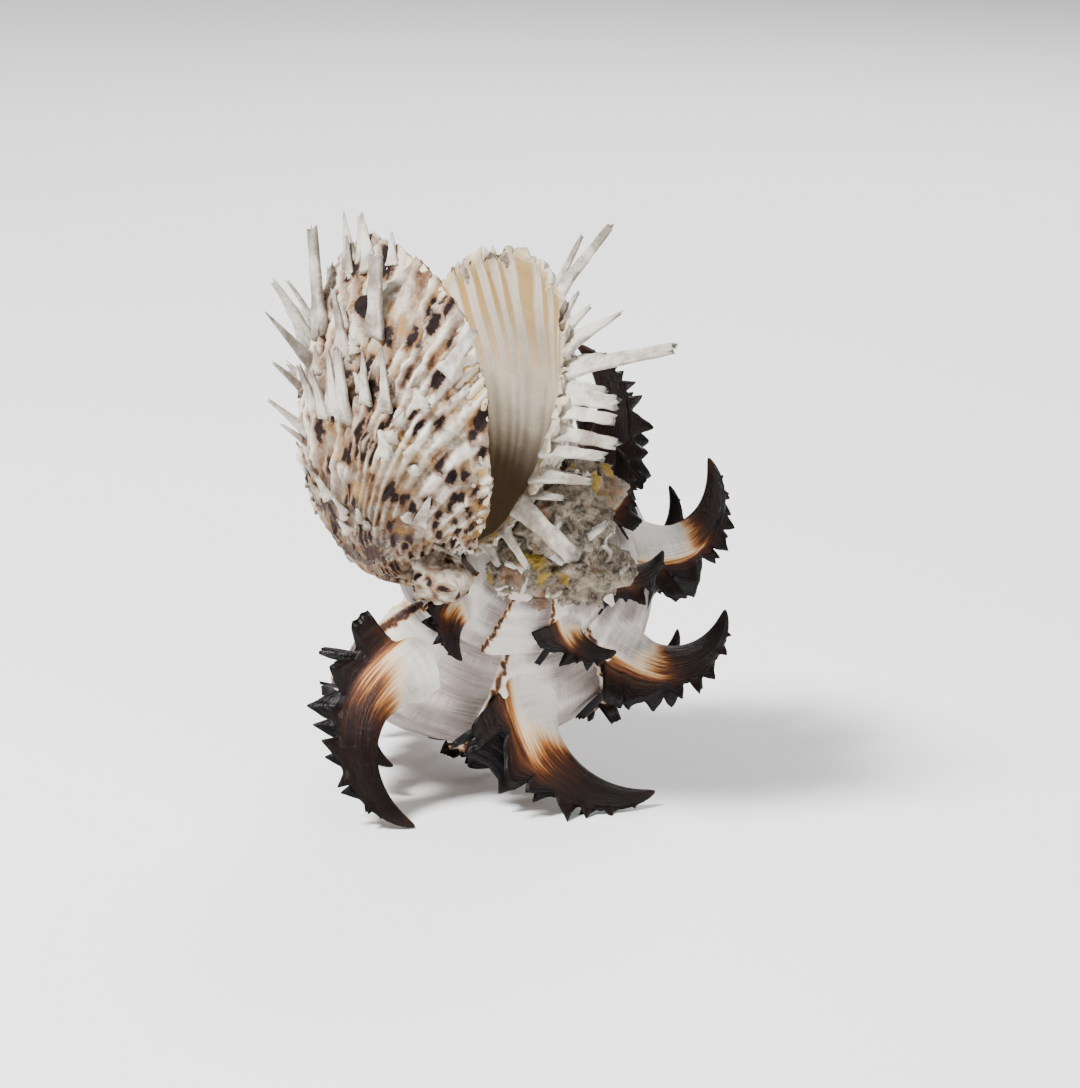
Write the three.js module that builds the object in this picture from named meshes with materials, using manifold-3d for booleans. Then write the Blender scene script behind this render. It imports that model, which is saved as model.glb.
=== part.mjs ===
// A murex shell lying on its side, with a thorny oyster grown on its spire.
//
// Every piece is worked out in the shell's own frame: origin at the tip of the spire, +Z along the
// coiling axis and out of the tip, angles counter-clockwise as seen from the tip. The shell coils
// clockwise, so "back" is the angle from the outer lip back along the coil. The group at the end
// turns the whole piece over into the way it lies. Millimetres, +Z up once it lies.

import * as THREE from 'three';
import Module from 'manifold-3d';

const wasm = await Module();
wasm.setup();
const { Manifold, Mesh } = wasm;

// ---------------------------------------------------------------- driving dimensions

const WHORL_GROWTH = 1.62; // size of a whorl against the one before it
const LIP_ANGLE = 225; // where the last varix stands round the axis, degrees
const LIP_REACH = 12; // how far the outer lip stands in front of it, degrees
const PITCH = 9; // angle from one ring of the sweep to the next, degrees

// Outline of the last whorl at the lip: distance from the axis, and height from the tip.
const WHORL_OUTLINE = [
  [1.5, -19.2], [14.3, -20.2], [21, -23.4], [27.8, -28.6], [31.6, -34.8], [32.2, -42],
  [29.2, -51.5], [22.4, -61], [14, -69.5], [8.8, -77.5], [5.5, -85],
];
const OUTLINE_STEPS = 11;
const WHORL_HUB = [5, -50]; // a point that every part of the outline can be seen from
const VARIX_RISE = 0.045; // how far a varix swells out, as a share of the radius
const VARIX_SPREAD = 6; // half width of a varix, degrees
const BURIED = 0.96; // size of the hidden first ring of an inner whorl

const APERTURE = { r: 17.6, z: -43.5, halfR: 10.6, halfZ: 13, depth: 150 };
const CANAL = { r: 6, top: -62, tip: -104, topHalf: 7.5, tipHalf: 3.4, slot: 2.6 };

// The varices of the last whorl: the shoulder frond's length, the lean of its foot and the curl of
// its tip against straight out (degrees, against the coiling), its half width at the foot, and how
// far the fronds in the rows below it have grown. Inside the mouth they are worn away.
const VARICES = [
  { back: 0, length: 34.5, lean: -6, curl: 135, half: 6.6, rows: 0.62 },
  { back: 44, length: 32, lean: 14, curl: 130, half: 6.8, rows: 0.74 },
  { back: 91, length: 26.5, lean: 12, curl: 144, half: 6, rows: 1 },
  { back: 137, length: 26.5, lean: 0, curl: 128, half: 5.8, rows: 1 },
  { back: 179, length: 25, lean: 10, curl: 120, half: 5.4, rows: 1 },
  { back: 224, length: 24, lean: 0, curl: 120, half: 5, rows: 1 },
  { back: 269, length: 22, lean: 0, curl: 115, half: 4.8, rows: 1 },
  { back: 312, length: 11, lean: 0, curl: 110, half: 4.0, rows: 0 },
];
const SHOULDER = { r: 28.5, z: -30.5 };
const CURL_LATE = 1.3; // above 1 a horn stays straight at its foot and curls towards its tip
const TIP_TAPER = 0.65; // below 1 a horn keeps its width until near its tip

// The rows of fronds below the shoulder, down to the canal: their length and half width as shares of
// the shoulder frond's, how far they are turned round from it and how far they point down.
const ROWS = [
  { r: 31, z: -42, share: 0.72, turn: 18, dip: 2, taper: 0.6 },
  { r: 27.5, z: -54, share: 0.42, turn: 10, dip: 16, taper: 0.58 },
  { r: 17, z: -66, share: 0.5, turn: 5, dip: 32, taper: 0.52 },
  { r: 9.5, z: -78, share: 0.6, turn: 0, dip: 46, taper: 0.48 },
];
const FROND_DEPTH = 0.55; // thickness of a frond against its width

// Small fronds left standing on the whorl before the last.
const SPIRE_FRONDS = [
  { angle: 222, back: 357, length: 10 },
  { angle: 289, back: 424, length: 11 },
  { angle: 337, back: 472, length: 12 },
  { angle: 385, back: 520, length: 12 },
  { angle: 430, back: 565, length: 10 },
];

// The thorny oyster. Its own frame: origin at the middle of the hinge, +X along the hinge line
// to its near end, +Y up the cemented valve, +Z across the gape to the free valve.
const OYSTER = { hinge: [-16.9, -1.9, -21.6], along: [0.22, -0.505, 0.835], up: [0.158, 0.863, 0.481] };
const GAPE = 25; // opening angle, degrees
const AXIS_GAP = 2; // from the hinge line to the nearest shell, mm
const CEMENTED = { height: 51, width: 51, flare: -0.04, coil: 0.9, wall: 0.075, umbo: 112, floor: 62 };
const FREE = { height: 52, width: 55, flare: 0.06, coil: 1.1, wall: 0.075, umbo: 130, floor: 70 };
const VALVE_SIDES = 24;
const SQUARE = 0.82; // below 1 the valve's outline is squarer than an ellipse
const LIGAMENT = { middle: 8, length: 8, from: 2.6, to: 6.6, clear: 4 };

// Spines: place round the margin (degrees, 0 at the top, plus towards the near end), how far back
// from the margin (degrees of coil), length, how far they stand off the valve and how far they lean
// round it (degrees).
const CEMENTED_SPINES = [
  [24, 2, 16, 40, -20], [52, 2, 10, 60, 6], [64, 2, 18.5, 70, 2], [74, 2, 9, 70, -38], [82, 2, 9, 66, -36],
  [92, 2, 10, 66, -32], [101, 2, 9, 64, -28], [112, 2, 9, 62, -20], [140, 2, 12, 40, 0],
];
const FREE_SPINES = [
  [-118, 18, 8, 40, 0], [-100, 14, 9, 42, 0], [-84, 18, 9, 42, 0], [-66, 12, 9, 42, 0],
  [-28, 22, 13, 50, 45], [-40, 18, 12, 35, 12], [-28, 36, 7, 50, 6], [-24, 16, 17, 20, -12],
  [-24, 4, 10, 20, -36], [-8, 4, 9, 20, -36], [12, 12, 12, 25, -15], [2, 18, 10, 35, -6],
  [40, 20, 10, 20, -24], [56, 6, 9, 20, 0],
];

// Lumps of the rubble crust over the tip of the spire: centre and half sizes.
const CRUST_LUMPS = [
  [[1, 1, -4], [9, 8, 6]], [[6, -6, -8], [8, 6, 6]], [[-3, -7, -9], [7, 5, 5]],
  [[-3, 8, -9], [8, 7, 6]], [[7, 6, -9], [6, 7, 6]],
];

const SEAT_GAP = 0.3; // between pieces that touch

// How the whole piece lies, on the lip's frond, the frond behind it and the end of the canal: it is
// spun about the coiling axis, tipped over, turned round, and set down with its tip at a place.
const LIE = { spin: -8.94, tip: 62.52, heading: 21.08, at: [10.23, -32.54, 53.92] };

// ---------------------------------------------------------------- solids

const rad = THREE.MathUtils.degToRad;
const growth = (back) => WHORL_GROWTH ** (-back / 360);
const onCoil = (angle, r, z) => new THREE.Vector3(r * Math.cos(rad(angle)), r * Math.sin(rad(angle)), z);
const centroid = (ring) => ring.reduce((sum, p) => sum.add(p), new THREE.Vector3()).divideScalar(ring.length);

// Closed geometry through rings of equally many points, shut by a fan at either end.
function loft(rings, hubs = [centroid(rings[0]), centroid(rings.at(-1))]) {
  const sides = rings[0].length;
  const points = [...rings.flat(), ...hubs];
  const last = (rings.length - 1) * sides;
  const index = [];
  for (let j = 0; j < sides; j++) {
    const k = (j + 1) % sides;
    for (let row = 0; row < last; row += sides) {
      index.push(row + j, row + k, row + sides + k, row + j, row + sides + k, row + sides + j);
    }
    index.push(points.length - 2, k, j, points.length - 1, last + j, last + k);
  }
  const geometry = new THREE.BufferGeometry().setFromPoints(points);
  geometry.setIndex(volumeOf(points, index) > 0 ? index : index.reverse());
  return geometry;
}

function volumeOf(points, index) {
  let volume = 0;
  const cross = new THREE.Vector3();
  for (let i = 0; i < index.length; i += 3) {
    cross.crossVectors(points[index[i + 1]], points[index[i + 2]]);
    volume += points[index[i]].dot(cross) / 6;
  }
  return volume;
}

function solid(geometry) {
  return new Manifold(new Mesh({
    numProp: 3,
    vertProperties: new Float32Array(geometry.attributes.position.array),
    triVerts: new Uint32Array(geometry.index.array),
  }));
}

function geometryOf(body) {
  const { vertProperties, triVerts } = body.getMesh();
  const geometry = new THREE.BufferGeometry();
  geometry.setAttribute('position', new THREE.BufferAttribute(new Float32Array(vertProperties), 3));
  geometry.setIndex(new THREE.BufferAttribute(new Uint32Array(triVerts), 1));
  geometry.computeVertexNormals();
  return geometry;
}

// A ring of points round a centre, in the plane of two directions.
function ellipse(centre, across, halfAcross, over, halfOver, sides) {
  return Array.from({ length: sides }, (_, i) => {
    const turn = (2 * Math.PI * (i + 0.5)) / sides;
    return centre.clone()
      .addScaledVector(across, halfAcross * Math.cos(turn))
      .addScaledVector(over, halfOver * Math.sin(turn));
  });
}

// ---------------------------------------------------------------- the murex shell

const outline = new THREE.SplineCurve(WHORL_OUTLINE.map(([r, z]) => new THREE.Vector2(r, z)))
  .getPoints(OUTLINE_STEPS);
const AXIS_RADIUS = 0.4; // the wedge of a whorl stops this far from the axis

function swell(back) {
  const nearest = Math.min(...VARICES.map((varix) => Math.abs((back % 360) - varix.back)));
  return 1 + VARIX_RISE * Math.exp(-((nearest / VARIX_SPREAD) ** 2));
}

function whorlRing(back, grow, size = 1) {
  const scale = growth(back) * size;
  const ring = outline.map((p) => onCoil(LIP_ANGLE + back, p.x * scale * swell(back) + grow, p.y * scale + grow));
  ring.unshift(onCoil(LIP_ANGLE + back, AXIS_RADIUS, outline[0].y * scale + grow));
  ring.push(onCoil(LIP_ANGLE + back, AXIS_RADIUS, outline.at(-1).y * scale - grow));
  return ring;
}

// One turn of the coil, as a wedge that reaches in to the axis.
function whorl(from, turn, pitch, grow) {
  const rings = from > 0 ? [whorlRing(from - pitch, grow, BURIED)] : [];
  for (let back = from; back <= from + turn; back += pitch) rings.push(whorlRing(back, grow));
  const hub = (back) => onCoil(LIP_ANGLE + back, WHORL_HUB[0] * growth(back), WHORL_HUB[1] * growth(back));
  return solid(loft(rings, [hub(from > 0 ? from - pitch : from), hub(from + turn)]));
}

// A horn that starts at a foot on the shell and curls in a plane square to the axis.
function horn({ angle, r, z, length, lean, curl, half, dip = 0, steps = 7, sides = 6, grow = 0 }) {
  const out = onCoil(angle, 1, 0);
  const round = onCoil(angle + 90, 1, 0);
  const down = new THREE.Vector3(0, 0, -1);
  const centre = onCoil(angle, r - half, z);
  const rings = [];
  for (let i = 0; i <= steps; i++) {
    const part = i / steps;
    const turn = rad(lean + (curl - lean) * part ** CURL_LATE);
    const ahead = out.clone().multiplyScalar(Math.cos(turn)).addScaledVector(round, Math.sin(turn))
      .multiplyScalar(Math.cos(rad(dip))).addScaledVector(down, Math.sin(rad(dip)));
    const across = new THREE.Vector3().crossVectors(down, ahead).normalize();
    const over = new THREE.Vector3().crossVectors(ahead, across);
    const width = half * (1 - part) ** TIP_TAPER + 0.35 + grow;
    rings.push(ellipse(centre, across, width, over, width * FROND_DEPTH, sides));
    centre.addScaledVector(ahead, (length + half) / steps);
  }
  return solid(loft(rings));
}

function murexFronds(grow) {
  const fronds = [];
  for (const { back, length, lean, curl, half, rows } of VARICES) {
    const angle = LIP_ANGLE + back;
    const size = growth(back);
    fronds.push(horn({ angle, r: SHOULDER.r * size, z: SHOULDER.z * size, length, lean, curl, half, grow }));
    for (const row of rows > 0 ? ROWS : []) {
      fronds.push(horn({
        angle, r: row.r * size, z: row.z * size, length: length * row.share * rows,
        lean: lean + row.turn, curl,
        half: half * row.taper, dip: row.dip, steps: 4, sides: 5, grow,
      }));
    }
  }
  for (const { angle, back, length } of SPIRE_FRONDS) {
    const size = growth(back);
    fronds.push(horn({
      angle, r: SHOULDER.r * size, z: SHOULDER.z * size, length, lean: 5, curl: 110, half: 3.4,
      steps: 4, sides: 5, grow,
    }));
  }
  return fronds;
}

function canalHorn(grow) {
  const rings = [];
  for (const part of [0, 0.5, 1]) {
    const half = THREE.MathUtils.lerp(CANAL.topHalf, CANAL.tipHalf, part) + grow;
    const centre = onCoil(LIP_ANGLE, CANAL.r, THREE.MathUtils.lerp(CANAL.top, CANAL.tip - grow, part));
    rings.push(ellipse(centre, onCoil(LIP_ANGLE, 1, 0), half * 0.8, onCoil(LIP_ANGLE + 90, 1, 0), half, 8));
  }
  return solid(loft(rings));
}

// The hollow of the last whorl, from the mouth back along the coil, narrowing with it.
function apertureHollow() {
  const rings = [];
  for (let back = -LIP_REACH - 4; back <= APERTURE.depth; back += 14) {
    const size = growth(back);
    const close = back > APERTURE.depth - 20 ? 0.6 : 1;
    const centre = onCoil(LIP_ANGLE + back, APERTURE.r * size, APERTURE.z * size);
    rings.push(ellipse(
      centre, onCoil(LIP_ANGLE + back, 1, 0), APERTURE.halfR * size * close,
      new THREE.Vector3(0, 0, 1), APERTURE.halfZ * size * close, 10,
    ));
  }
  return solid(loft(rings));
}

// The narrow slot of the canal, open along the lip.
function canalSlot() {
  const length = CANAL.top + APERTURE.halfZ - CANAL.tip;
  const slot = new THREE.BoxGeometry(CANAL.slot, CANAL.topHalf, length).toNonIndexed();
  slot.translate(CANAL.r, -CANAL.topHalf / 2, CANAL.tip + length / 2 - 1).rotateZ(rad(LIP_ANGLE));
  return solid(weld(slot));
}

// The same geometry with only its positions, and with equal corners shared.
function weld(geometry) {
  const seen = new Map();
  const points = [];
  const index = [];
  const position = geometry.attributes.position;
  for (let i = 0; i < position.count; i++) {
    const point = new THREE.Vector3().fromBufferAttribute(position, i);
    const key = point.toArray().map((v) => v.toFixed(4)).join();
    if (!seen.has(key)) seen.set(key, points.push(point) - 1);
    index.push(seen.get(key));
  }
  return new THREE.BufferGeometry().setFromPoints(points).setIndex(index);
}

function murexBody(grow) {
  const turns = [
    whorl(-LIP_REACH, 342 + LIP_REACH, PITCH, grow), whorl(342, 342, 2 * PITCH, grow),
    whorl(684, 324, 4 * PITCH, grow),
  ];
  return [...turns, canalHorn(grow), ...murexFronds(grow)].reduce((body, piece) => body.add(piece));
}

// ---------------------------------------------------------------- the thorny oyster

const hingeAlong = new THREE.Vector3(...OYSTER.along).normalize();
const hingeAcross = new THREE.Vector3().crossVectors(hingeAlong, new THREE.Vector3(...OYSTER.up)).normalize();
const oysterFrame = new THREE.Matrix4()
  .makeBasis(hingeAlong, new THREE.Vector3().crossVectors(hingeAcross, hingeAlong), hingeAcross)
  .setPosition(...OYSTER.hinge);

// A point of a valve: each ring lies in a plane through the hinge line, smaller the further the
// plane is turned round that line from the margin. side is -1 cemented and +1 free.
function valvePoint(shape, side, place, turn, inset = 0, grow = 0) {
  const scale = Math.exp(-rad(turn) / shape.coil);
  const sine = Math.sin(rad(place));
  const cosine = Math.cos(rad(place));
  const wide = (shape.width / 2) * Math.sign(sine) * Math.abs(sine) ** SQUARE * (1 + shape.flare * cosine);
  const half = shape.height / 2;
  const tall = half * Math.sign(cosine) * Math.abs(cosine) ** SQUARE;
  const x = wide * (1 - inset) * scale + grow * sine;
  const y = (AXIS_GAP + half + tall * (1 - inset)) * scale + grow * cosine;
  const open = rad(side * turn + (side > 0 ? GAPE : 0));
  return new THREE.Vector3(x, y * Math.cos(open), y * Math.sin(open)).applyMatrix4(oysterFrame);
}

function valveRing(shape, side, turn, inset, grow) {
  return Array.from({ length: VALVE_SIDES }, (_, i) =>
    valvePoint(shape, side, (360 * i) / VALVE_SIDES, turn, inset, grow));
}

// Outside from the umbo to the margin, over the rim, and down the inside to the floor.
function valveShell(shape, side, grow = 0) {
  const rings = [];
  for (let turn = shape.umbo; turn > 1; turn -= shape.umbo / 7) rings.push(valveRing(shape, side, turn, 0, grow));
  rings.push(valveRing(shape, side, 0, 0, grow));
  if (grow > 0) return solid(loft(rings));
  for (const turn of [0, 15, 38, shape.floor]) rings.push(valveRing(shape, side, turn, shape.wall + turn / 400, 0));
  return solid(loft(rings));
}

// A flat tapering spine standing off the outside of a valve.
function valveSpine(shape, side, [place, turn, length, off, sideways], grow = 0) {
  const foot = valvePoint(shape, side, place, turn);
  const ahead = valvePoint(shape, side, place, turn - 1).sub(foot).normalize();
  const across = valvePoint(shape, side, place + 1, turn).sub(foot).normalize();
  const out = new THREE.Vector3().crossVectors(across, ahead).multiplyScalar(side).normalize();
  across.crossVectors(ahead, out).normalize();
  ahead.addScaledVector(across, Math.tan(rad(sideways))).normalize();
  across.crossVectors(ahead, out).normalize();
  const along = ahead.multiplyScalar(Math.cos(rad(off))).addScaledVector(out, Math.sin(rad(off)));
  const over = new THREE.Vector3().crossVectors(along, across);
  const rings = [[-0.8, 1.9], [length * 0.5, 1.3], [length, 0.7]].map(([at, half]) =>
    ellipse(foot.clone().addScaledVector(along, at), across, half + grow, over, half * 0.5 + grow, 4));
  return solid(loft(rings));
}

function valve(shape, side, spines, grow = 0) {
  return spines.reduce((body, spine) => body.add(valveSpine(shape, side, spine, grow)), valveShell(shape, side, grow));
}

function hingeLigament() {
  const point = (x, y, open) =>
    new THREE.Vector3(x, y * Math.cos(rad(open)), y * Math.sin(rad(open))).applyMatrix4(oysterFrame);
  const rings = [-0.5, 0, 0.5].map((part) => {
    const { middle, length, from, to, clear } = LIGAMENT;
    const x = middle + part * length;
    return [point(x, from, clear + 4), point(x, to, clear), point(x, to, GAPE - clear), point(x, from, GAPE - clear - 4)];
  });
  return solid(loft(rings));
}

function crustLumps() {
  return CRUST_LUMPS
    .map(([centre, half]) => solid(weld(new THREE.IcosahedronGeometry(1, 1).scale(...half).translate(...centre))))
    .reduce((crust, lump) => crust.add(lump));
}

// ---------------------------------------------------------------- assembly

const murex = murexBody(0).subtract(apertureHollow()).subtract(canalSlot());
const murexSeat = murexBody(SEAT_GAP);
const cemented = valve(CEMENTED, -1, CEMENTED_SPINES).subtract(murexSeat);
const free = valve(FREE, 1, FREE_SPINES).subtract(murexSeat);
const crust = crustLumps().subtract(murexSeat)
  .subtract(valve(CEMENTED, -1, CEMENTED_SPINES, SEAT_GAP)).subtract(valve(FREE, 1, [], SEAT_GAP));

const FINISHES = {
  murex_shell: { color: 0xd8cfc8, roughness: 0.45, metalness: 0 },
  cemented_valve: { color: 0xefe3c8, roughness: 0.5, metalness: 0 },
  free_valve: { color: 0xe2d3c8, roughness: 0.6, metalness: 0 },
  hinge_ligament: { color: 0x8a5a20, roughness: 0.4, metalness: 0 },
  marine_crust: { color: 0x8f8577, roughness: 0.9, metalness: 0 },
};

function piece(name, body) {
  const mesh = new THREE.Mesh(geometryOf(body), new THREE.MeshStandardMaterial(FINISHES[name]));
  mesh.name = name;
  return mesh;
}

const shell = new THREE.Group();
shell.add(
  piece('murex_shell', murex),
  piece('cemented_valve', cemented),
  piece('free_valve', free),
  piece('hinge_ligament', hingeLigament()),
  piece('marine_crust', crust),
);
shell.rotation.set(rad(LIE.tip), 0, rad(LIE.spin));

const specimen = new THREE.Group();
specimen.add(shell);
specimen.rotation.z = rad(LIE.heading);
specimen.position.set(...LIE.at);

export default specimen;
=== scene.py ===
import bpy
import numpy as np
from mathutils import Matrix, Vector


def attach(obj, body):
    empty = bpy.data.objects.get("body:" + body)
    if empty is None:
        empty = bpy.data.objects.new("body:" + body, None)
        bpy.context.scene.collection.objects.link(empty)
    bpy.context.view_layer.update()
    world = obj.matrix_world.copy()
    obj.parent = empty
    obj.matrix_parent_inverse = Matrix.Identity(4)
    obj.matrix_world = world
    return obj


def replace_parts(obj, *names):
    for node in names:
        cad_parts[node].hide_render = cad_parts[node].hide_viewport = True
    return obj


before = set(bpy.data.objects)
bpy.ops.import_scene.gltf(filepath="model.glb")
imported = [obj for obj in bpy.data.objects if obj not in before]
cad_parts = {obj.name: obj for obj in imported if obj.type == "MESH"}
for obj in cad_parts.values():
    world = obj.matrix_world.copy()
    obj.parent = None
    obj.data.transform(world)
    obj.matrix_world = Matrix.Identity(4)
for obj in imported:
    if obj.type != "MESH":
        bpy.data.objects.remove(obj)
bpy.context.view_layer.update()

# ---------------- the murex's coiled body
# One grown shell of porcelain-like lime: a tube that widens as it coils down from the tip, with a
# thickened rib, a varix, left at each halt in its growth. Worked out in millimetres in the shell's
# own frame (tip at the origin, +Z out of the tip) and laid down on its side at the end.

WHORL_GROWTH = 1.62  # size against one whorl earlier
LIP_ANGLE = 225  # round the axis, degrees
LIP_REACH = 12  # the lip's edge stands this far in front of the middle of its varix, degrees
WHORL_OUTLINE = np.array([
    [1.5, -19.2], [14.3, -20.2], [21, -23.4], [27.8, -28.6], [31.6, -34.8], [32.2, -42],
    [29.2, -51.5], [22.4, -61], [14, -69.5], [8.8, -77.5], [5.5, -85],
])
OUTLINE_LENGTH = 95  # mm, at the lip
VARIX_BACKS = np.array([0, 44, 91, 137, 179, 224, 269, 312, 357, 391, 424, 472, 520, 565, 610, 655,
                        700, 745, 790, 835, 880, 925, 970, 1015, 1060, 1105, 1150])
VARIX_LEAD = 7.5  # the sharp front edge of a varix, in front of its middle, degrees
VARIX_HEIGHT = 1.5
WHORL_ROWS = 26  # rows of the grid from one varix to the next
OUTLINE_COLUMNS = 112
MOUTH = dict(r=17.6, z=-43.5, half_r=10.8, half_z=13.2, depth=150)


def turned(axis, degrees):
    return np.array(Matrix.Rotation(np.radians(degrees), 3, axis))


LIE = turned("Z", 21.08) @ turned("X", 62.52) @ turned("Z", -8.94)
TIP_PLACE = np.array([10.23, -32.54, 53.92])


def laid_down(points):
    """The shell's own frame, in mm, to the frame it lies in, in metres."""
    return (points @ LIE.T + TIP_PLACE) * 0.001


def curve_through(points, t):
    """Catmull-Rom curve through the points; t runs from 0 at the first to 1 at the last."""
    last = len(points) - 1
    at = np.clip(t, 0, 1) * last
    i = np.minimum(at.astype(int), last - 1)
    f = (at - i)[..., None]
    a, b, c, d = (points[np.clip(i + k, 0, last)] for k in (-1, 0, 1, 2))
    return 0.5 * (2 * b + (c - a) * f + (2 * a - 5 * b + 4 * c - d) * f**2 + (3 * b - a - 3 * c + d) * f**3)


def growth(back):
    """Size of the coil an angle back from the lip, against its size at the lip."""
    return WHORL_GROWTH ** (-np.asarray(back, float) / 360)


def on_coil(angle, r, z):
    """Point at an angle round the axis, a distance from it and a height against the tip."""
    a = np.radians(angle)
    return np.stack(np.broadcast_arrays(r * np.cos(a), r * np.sin(a), z), -1)


def unit(v):
    return v / np.maximum(np.linalg.norm(v, axis=-1, keepdims=True), 1e-9)


def ease(x, low, high):
    """0 below low, 1 above high, and a smooth step between."""
    t = np.clip((np.asarray(x, float) - low) / (high - low), 0, 1)
    return t * t * (3 - 2 * t)


def table(columns, rows):
    """The rows as dicts; a short row leaves its last columns to their defaults."""
    return [dict(zip(columns.split(), row)) for row in rows]


def bump(x, width):
    """1 at 0, falling smoothly to nothing on both sides."""
    return np.exp(-(x / width) ** 2)


def crumple(points, size, seed, waves=24):
    """Uneven height, about -1 to 1: the sum of plane waves of random direction and phase, whose
    length is near the size given."""
    rng = np.random.default_rng(seed)
    ways = unit(rng.normal(size=(waves, 3))) * 2 * np.pi / (size * rng.uniform(0.6, 1.7, (waves, 1)))
    return np.sin(points @ ways.T + rng.uniform(0, 6.28, waves)).sum(-1) / waves**0.5


def varix_edges():
    """Angles of the sharp front edges of the varices, back from the middle of the lip's."""
    edges = VARIX_BACKS - VARIX_LEAD
    edges[0] = -LIP_REACH
    return edges


def behind_varix(back):
    """Degrees back from the sharp edge of the nearest varix in front; below 0 just before it."""
    ahead = np.asarray(back, float)[..., None] - varix_edges()
    return np.where(ahead > -1.5, ahead, 999).min(-1)


def varix_height(back):
    """Relief of the varices: a steep front edge and a long slope down behind it."""
    behind = behind_varix(back)
    return np.where(behind < 0, bump(behind, 1.1), np.exp(-np.abs(behind) / 9))


CORDS = np.array([0.12, 0.22, 0.335, 0.42, 0.5, 0.57, 0.63, 0.69, 0.76, 0.83, 0.9])
KNOBS = 19  # swellings along a varix, over the whole outline; their white is partly painted highlight


def cord_height(u):
    """Relief of the spiral cords across the outline."""
    return bump(np.asarray(u, float)[..., None] - CORDS, 0.018).sum(-1)


def knob_height(back, u):
    """Rounded swellings just behind each varix, pale partly in their own colour and partly as painted
    highlight.
    """
    row = 0.5 + 0.5 * np.cos(2 * np.pi * (u * KNOBS + 0.02 * back))
    return bump(behind_varix(back) - 5, 3.6) * row * ease(u, 0.14, 0.26)


def body_point(back, u, sink=0.0):
    """Outside of the coil: the outline at u, scaled by the growth, lifted by varices, knobs and cords.
    Below the shoulder the lip draws back."""
    back, u = np.broadcast_arrays(np.asarray(back, float), np.asarray(u, float))
    back = back + 6 * ease(u, 0.34, 0.46) * np.exp(-np.clip(back + LIP_REACH, 0, None) / 9)
    size = growth(back)
    flat = curve_through(WHORL_OUTLINE, u)
    slope = curve_through(WHORL_OUTLINE, u + 0.01) - curve_through(WHORL_OUTLINE, u - 0.01)
    out = unit(np.stack([-slope[..., 1], slope[..., 0]], -1))
    threads = 0.14 * cord_height(u) + 0.06 * np.cos(u * 520) * ease(u, 0.05, 0.15)
    uneven = 0.22 * crumple(np.stack([u * OUTLINE_LENGTH, back * 0.45, 0 * u], -1), 7, 3)
    lift = VARIX_HEIGHT * varix_height(back) * (0.4 + 0.75 * cord_height(u)) * ease(u, 0.02, 0.3)
    lift = lift + 0.75 * knob_height(back, u) + threads + uneven * ease(u, 0.02, 0.1) - sink
    r = (flat[..., 0] + out[..., 0] * lift) * size
    z = (flat[..., 1] + out[..., 1] * lift) * size
    return on_coil(LIP_ANGLE + back, r, z)


class Grids:
    """One mesh of closed grids. Each grid is rows of round rings, shut at both ends on a middle point."""

    def __init__(self, *fields):
        self.points, self.quads, self.tris, self.count = [], [], [], 0
        self.fields = {name: [] for name in fields}

    def add(self, grid, fields=()):
        """grid is (rows, columns, 3) in mm; a field is a number or (rows, columns)."""
        rows, columns = grid.shape[:2]
        points = np.concatenate([grid.reshape(-1, 3), [grid[0].mean(0)], [grid[-1].mean(0)]])
        row, column = np.meshgrid(np.arange(rows - 1) * columns, np.arange(columns), indexing="ij")
        following = (column + 1) % columns
        below = row + columns
        quads = np.stack([row + column, row + following, below + following, below + column], -1)
        quads = quads.reshape(-1, 4)
        c, n, last = np.arange(columns), (np.arange(columns) + 1) % columns, (rows - 1) * columns
        start, end = np.full(columns, rows * columns), np.full(columns, rows * columns + 1)
        tris = np.concatenate([np.stack([start, n, c], -1), np.stack([end, last + c, last + n], -1)])
        corners = np.concatenate([quads[:, [0, 1, 2]], quads[:, [0, 2, 3]], tris])
        a, b, d = (points[corners[:, k]] for k in range(3))
        if np.einsum("ij,ij->", a, np.cross(b, d)) < 0:
            quads, tris = quads[:, ::-1], tris[:, ::-1]
        self.points.append(points)
        self.quads.append(quads + self.count)
        self.tris.append(tris + self.count)
        self.count += len(points)
        for name, kept in self.fields.items():
            value = np.broadcast_to(np.asarray(dict(fields).get(name, 0.0), float), (rows, columns))
            kept.append(np.concatenate([value.ravel(), [value[0].mean(), value[-1].mean()]]))

    def piece(self, name, material, node_slot):
        quads, tris = np.concatenate(self.quads), np.concatenate(self.tris)
        mesh = bpy.data.meshes.new(name)
        mesh.vertices.add(self.count)
        points = laid_down(np.concatenate(self.points))
        points[:, 2] = np.maximum(points[:, 2], 0)  # worn flat where it rests
        mesh.vertices.foreach_set("co", points.ravel())
        corners = np.concatenate([quads.ravel(), tris.ravel()])
        mesh.loops.add(len(corners))
        mesh.loops.foreach_set("vertex_index", corners)
        mesh.polygons.add(len(quads) + len(tris))
        starts = np.concatenate([np.arange(len(quads)) * 4, len(quads) * 4 + np.arange(len(tris)) * 3])
        mesh.polygons.foreach_set("loop_start", starts)
        mesh.polygons.foreach_set("use_smooth", np.ones(len(starts), bool))
        mesh.update(calc_edges=True)
        mesh.validate()
        for field, kept in self.fields.items():
            mesh.attributes.new(field, "FLOAT", "POINT").data.foreach_set("value", np.concatenate(kept))
        mesh.materials.append(material)
        piece = bpy.data.objects.new(name, mesh)
        bpy.context.collection.objects.link(piece)
        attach(piece, "root")
        return piece


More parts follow.
